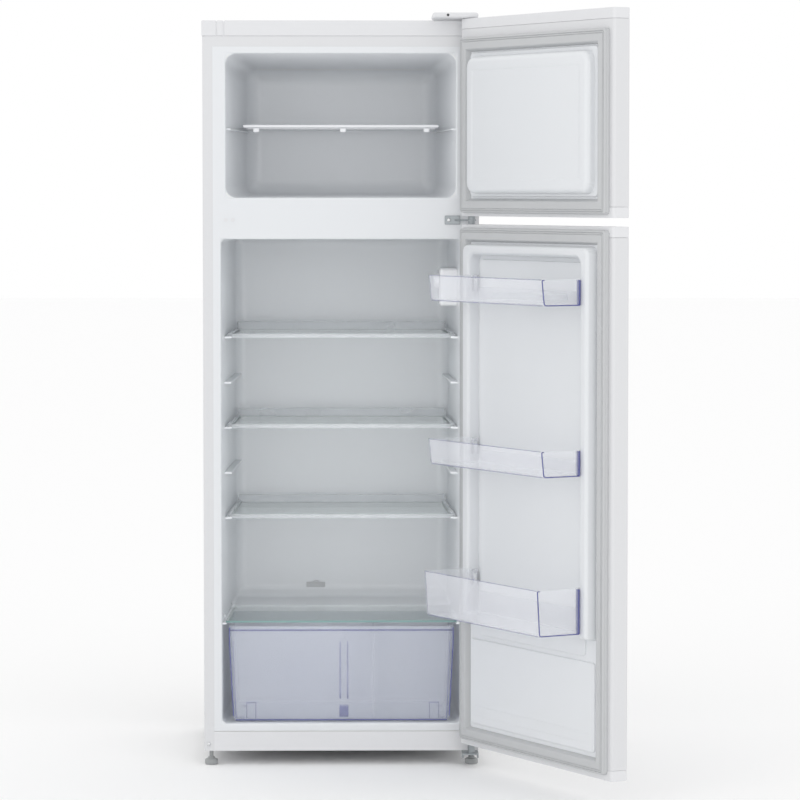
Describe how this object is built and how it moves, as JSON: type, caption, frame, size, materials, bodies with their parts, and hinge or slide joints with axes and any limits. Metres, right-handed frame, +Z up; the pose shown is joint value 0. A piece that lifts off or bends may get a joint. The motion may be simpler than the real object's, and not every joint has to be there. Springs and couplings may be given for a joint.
{
  "type": "refrigerator",
  "caption": "Upright white refrigerator with a freezer compartment above the fridge compartment, glass shelves, door bins and a crisper drawer, both doors open",
  "frame": {"origin": "centre of the sole of the front left levelling foot, on the floor", "axes": "+X to the right seen from the front, +Y from the front to the back, +Z up along the height"},
  "size_m": [0.7979, 1.0165, 1.4745],
  "materials": {
    "painted_steel": "smooth white powder coat",
    "white_plastic": "satin white",
    "liner_plastic": "glossy vacuum-formed white",
    "foam": "rigid foam",
    "gasket": "soft grey vinyl",
    "clear_violet": "transparent, pale violet",
    "shelf_glass": "clear toughened",
    "lamp_glass": "frosted",
    "clear_cover": "clear",
    "zinc_steel": "zinc plated",
    "bright_steel": "bright",
    "black_metal": "satin black",
    "black_plastic": "matt black",
    "black_rubber": "matt",
    "grey_plastic": "matt grey",
    "aluminium": "rolled",
    "copper": "drawn tube"
  },
  "bodies": {
    "cabinet": {"outer_shell": "painted_steel", "foam_insulation": "foam", "inner_liner": "liner_plastic", "back_panel": "zinc_steel", "sill_rail": "painted_steel", "compressor_tray": "zinc_steel", "top_cover": "white_plastic", "top_hinge": "zinc_steel", "top_hinge_cover": "white_plastic", "middle_hinge": "zinc_steel", "bottom_hinge": "zinc_steel", "hinge_screws": "bright_steel", "hinge_hole_plugs": "white_plastic", "thermostat_housing": "white_plastic", "thermostat": "zinc_steel", "lamp_cover": "clear_cover", "lamp": "lamp_glass", "freezer_evaporator": "aluminium", "fridge_evaporator": "aluminium", "drain_tube": "white_plastic", "compressor": "black_metal", "compressor_mounts": "black_rubber", "relay_box": "black_plastic", "evaporation_tray": "black_plastic", "condenser": "black_metal", "filter_drier": "copper", "refrigerant_lines": "copper", "roller_axles": "zinc_steel"},
    "freezer_door": {"freezer_door_skin": "painted_steel", "freezer_door_foam": "foam", "freezer_door_liner": "liner_plastic", "freezer_door_gasket": "gasket", "freezer_door_top_cap": "white_plastic", "freezer_door_bottom_cap": "white_plastic"},
    "fridge_door": {"fridge_door_skin": "painted_steel", "fridge_door_foam": "foam", "fridge_door_liner": "liner_plastic", "fridge_door_gasket": "gasket", "fridge_door_top_cap": "white_plastic", "fridge_door_bottom_cap": "white_plastic"},
    "top_bin": {"top_door_bin": "clear_violet"},
    "middle_bin": {"middle_door_bin": "clear_violet"},
    "bottom_bin": {"bottom_door_bin": "clear_violet"},
    "eggs_tray": {"egg_tray": "clear_violet"},
    "freezer_rack": {"wire_shelf": "white_plastic", "wire_shelf_clips": "white_plastic"},
    "top_shelf": {"top_shelf_glass": "shelf_glass", "top_shelf_trim": "white_plastic"},
    "middle_shelf": {"middle_shelf_glass": "shelf_glass", "middle_shelf_trim": "white_plastic"},
    "bottom_shelf": {"bottom_shelf_glass": "shelf_glass", "bottom_shelf_trim": "white_plastic"},
    "drawer_cover": {"crisper_cover": "shelf_glass"},
    "drawer": {"crisper_drawer": "clear_violet"},
    "divider": {"crisper_divider": "clear_violet"},
    "left_foot": {"left_front_foot": "grey_plastic"},
    "right_foot": {"right_front_foot": "grey_plastic"},
    "left_roller": {"left_rear_roller": "grey_plastic"},
    "right_roller": {"right_rear_roller": "grey_plastic"},
    "knob": {"thermostat_knob": "white_plastic"}
  },
  "joints": [
    {"name": "freezer_door_hinge", "type": "hinge", "parent": "cabinet", "child": "freezer_door", "pos_m": [0.5115, -0.042, 1.27], "axis": [0, 0, 1], "range_deg": [-119.2, 15]},
    {"name": "fridge_door_hinge", "type": "hinge", "parent": "cabinet", "child": "fridge_door", "pos_m": [0.5115, -0.042, 0.555], "axis": [0, 0, 1], "range_deg": [-119.2, 15]},
    {"name": "top_bin_lift", "type": "slide", "parent": "fridge_door", "child": "top_bin", "axis": [0, 0, 1], "range_m": [0, 0.03]},
    {"name": "middle_bin_lift", "type": "slide", "parent": "fridge_door", "child": "middle_bin", "axis": [0, 0, 1], "range_m": [0, 0.03]},
    {"name": "bottom_bin_lift", "type": "slide", "parent": "fridge_door", "child": "bottom_bin", "axis": [0, 0, 1], "range_m": [0, 0.03]},
    {"name": "egg_tray_lift", "type": "slide", "parent": "top_bin", "child": "eggs_tray", "axis": [0, 0, 1], "range_m": [0, 0.05]},
    {"name": "wire_shelf_slide", "type": "slide", "parent": "cabinet", "child": "freezer_rack", "axis": [0, -1, 0], "range_m": [0, 0.3]},
    {"name": "top_shelf_slide", "type": "slide", "parent": "cabinet", "child": "top_shelf", "axis": [0, -1, 0], "range_m": [0, 0.225]},
    {"name": "middle_shelf_slide", "type": "slide", "parent": "cabinet", "child": "middle_shelf", "axis": [0, -1, 0], "range_m": [0, 0.225]},
    {"name": "bottom_shelf_slide", "type": "slide", "parent": "cabinet", "child": "bottom_shelf", "axis": [0, -1, 0], "range_m": [0, 0.225]},
    {"name": "crisper_cover_slide", "type": "slide", "parent": "cabinet", "child": "drawer_cover", "axis": [0, -1, 0], "range_m": [0, 0.22]},
    {"name": "crisper_drawer_slide", "type": "slide", "parent": "cabinet", "child": "drawer", "axis": [0, -1, 0], "range_m": [0, 0.24]},
    {"name": "crisper_divider_slide", "type": "slide", "parent": "drawer", "child": "divider", "axis": [1, 0, 0], "range_m": [-0.16, 0.12]},
    {"name": "left_foot_screw", "type": "hinge", "parent": "cabinet", "child": "left_foot", "pos_m": [0, 0, 0], "axis": [0, 0, 1], "continuous": true},
    {"name": "right_foot_screw", "type": "hinge", "parent": "cabinet", "child": "right_foot", "pos_m": [0.513, 0, 0], "axis": [0, 0, 1], "continuous": true},
    {"name": "left_roller_axle", "type": "hinge", "parent": "cabinet", "child": "left_roller", "pos_m": [0.0195, 0.448, 0.014], "axis": [1, 0, 0], "continuous": true},
    {"name": "right_roller_axle", "type": "hinge", "parent": "cabinet", "child": "right_roller", "pos_m": [0.4935, 0.448, 0.014], "axis": [1, 0, 0], "continuous": true},
    {"name": "thermostat_knob_shaft", "type": "hinge", "parent": "cabinet", "child": "knob", "pos_m": [0.4515, 0.128, 0.951], "axis": [1, 0, 0], "range_deg": [0, 270]}
  ]
}
